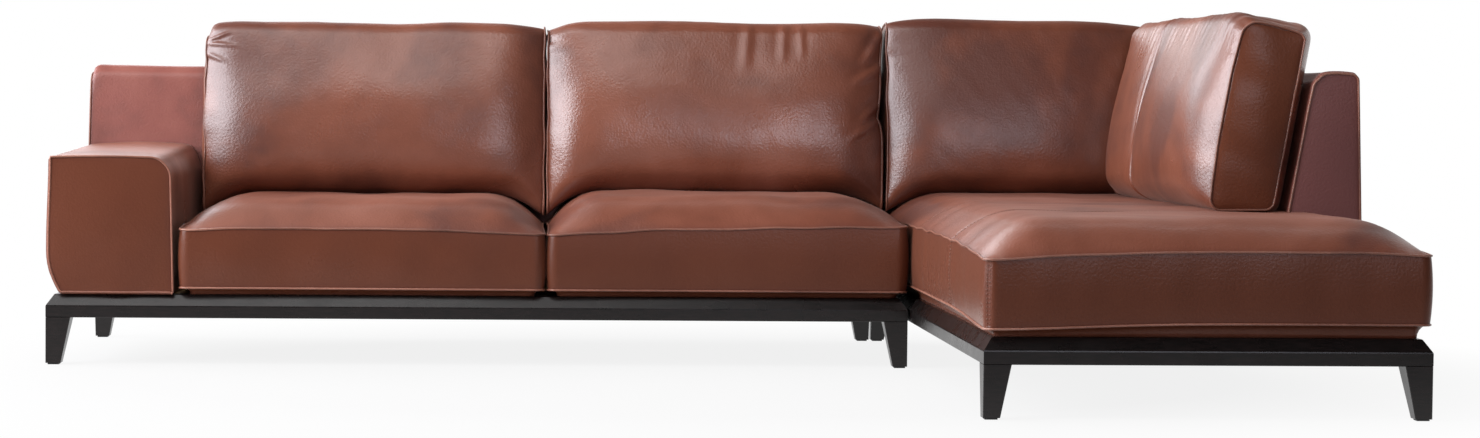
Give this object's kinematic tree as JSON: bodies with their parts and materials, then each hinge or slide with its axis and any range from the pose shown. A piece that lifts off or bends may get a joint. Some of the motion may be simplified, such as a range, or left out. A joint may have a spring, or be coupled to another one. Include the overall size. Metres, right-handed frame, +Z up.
{
  "type": "leather corner sofa",
  "caption": "L-shaped leather sofa with one block arm, a chaise, raked backs and loose back cushions, on dark plinths with tapered legs.",
  "frame": {"origin": "on the floor under the middle of the whole footprint", "axes": "+X to the right along the long back, +Y to the rear, +Z up; the seats face -Y"},
  "size_m": [3.206, 2.225, 0.9119],
  "materials": {
    "leather": "waxed, mottled brown",
    "dark_lacquered_timber": "black-brown satin lacquer",
    "frame_timber": "sawn softwood and plywood",
    "zinc_steel": "zinc plated",
    "nylon": "black nylon",
    "elastic_webbing": "woven elastic",
    "foam": "cut upholstery foam",
    "dust_cloth": "black non-woven"
  },
  "bodies": {
    "sofa": {"arm_cover": "leather", "arm_frame": "frame_timber", "left_seat_cover": "leather", "left_seat_foam": "foam", "left_seat_frame": "frame_timber", "left_seat_webbing": "elastic_webbing", "middle_seat_cover": "leather", "middle_seat_foam": "foam", "middle_seat_frame": "frame_timber", "middle_seat_webbing": "elastic_webbing", "sofa_back_cover": "leather", "sofa_back_frame": "frame_timber", "sofa_bearers": "frame_timber", "sofa_connector_hooks": "zinc_steel", "sofa_connector_screws": "zinc_steel", "sofa_dust_cloth": "dust_cloth", "sofa_front_rail": "dark_lacquered_timber", "sofa_left_rail": "dark_lacquered_timber", "sofa_leg_bolts": "zinc_steel", "sofa_leg_front_left": "dark_lacquered_timber", "sofa_leg_front_right": "dark_lacquered_timber", "sofa_leg_glides": "nylon", "sofa_leg_rear_left": "dark_lacquered_timber", "sofa_leg_rear_right": "dark_lacquered_timber", "sofa_rear_rail": "dark_lacquered_timber", "sofa_right_rail": "dark_lacquered_timber"},
    "chaise": {"chaise_back_cover": "leather", "chaise_back_frame": "frame_timber", "chaise_bearers": "frame_timber", "chaise_connector_catches": "zinc_steel", "chaise_connector_screws": "zinc_steel", "chaise_dust_cloth": "dust_cloth", "chaise_front_rail": "dark_lacquered_timber", "chaise_left_rail": "dark_lacquered_timber", "chaise_leg_bolts": "zinc_steel", "chaise_leg_front_left": "dark_lacquered_timber", "chaise_leg_front_right": "dark_lacquered_timber", "chaise_leg_glides": "nylon", "chaise_leg_rear_left": "dark_lacquered_timber", "chaise_leg_rear_right": "dark_lacquered_timber", "chaise_rear_rail": "dark_lacquered_timber", "chaise_right_rail": "dark_lacquered_timber", "chaise_seat_cover": "leather", "chaise_seat_foam": "foam", "chaise_seat_frame": "frame_timber", "chaise_seat_webbing": "elastic_webbing", "side_back_cover": "leather", "side_back_frame": "frame_timber"},
    "left_cushion": {"left_cushion_core": "foam", "left_cushion_cover": "leather"},
    "middle_cushion": {"middle_cushion_core": "foam", "middle_cushion_cover": "leather"},
    "corner_cushion": {"corner_cushion_core": "foam", "corner_cushion_cover": "leather"},
    "side_cushion": {"side_cushion_core": "foam", "side_cushion_cover": "leather"}
  },
  "joints": [
    {"name": "chaise_lift", "type": "slide", "parent": "sofa", "child": "chaise", "axis": [0, 0, 1], "range_m": [0, 0.05]},
    {"name": "left_cushion_lift", "type": "slide", "parent": "sofa", "child": "left_cushion", "axis": [0, 0.1736, 0.9848], "range_m": [0, 0.25]},
    {"name": "middle_cushion_lift", "type": "slide", "parent": "sofa", "child": "middle_cushion", "axis": [0, 0.1736, 0.9848], "range_m": [0, 0.25]},
    {"name": "corner_cushion_lift", "type": "slide", "parent": "chaise", "child": "corner_cushion", "axis": [0, 0.1736, 0.9848], "range_m": [0, 0.25]},
    {"name": "side_cushion_lift", "type": "slide", "parent": "chaise", "child": "side_cushion", "axis": [0.1736, 0, 0.9848], "range_m": [0, 0.25]}
  ]
}
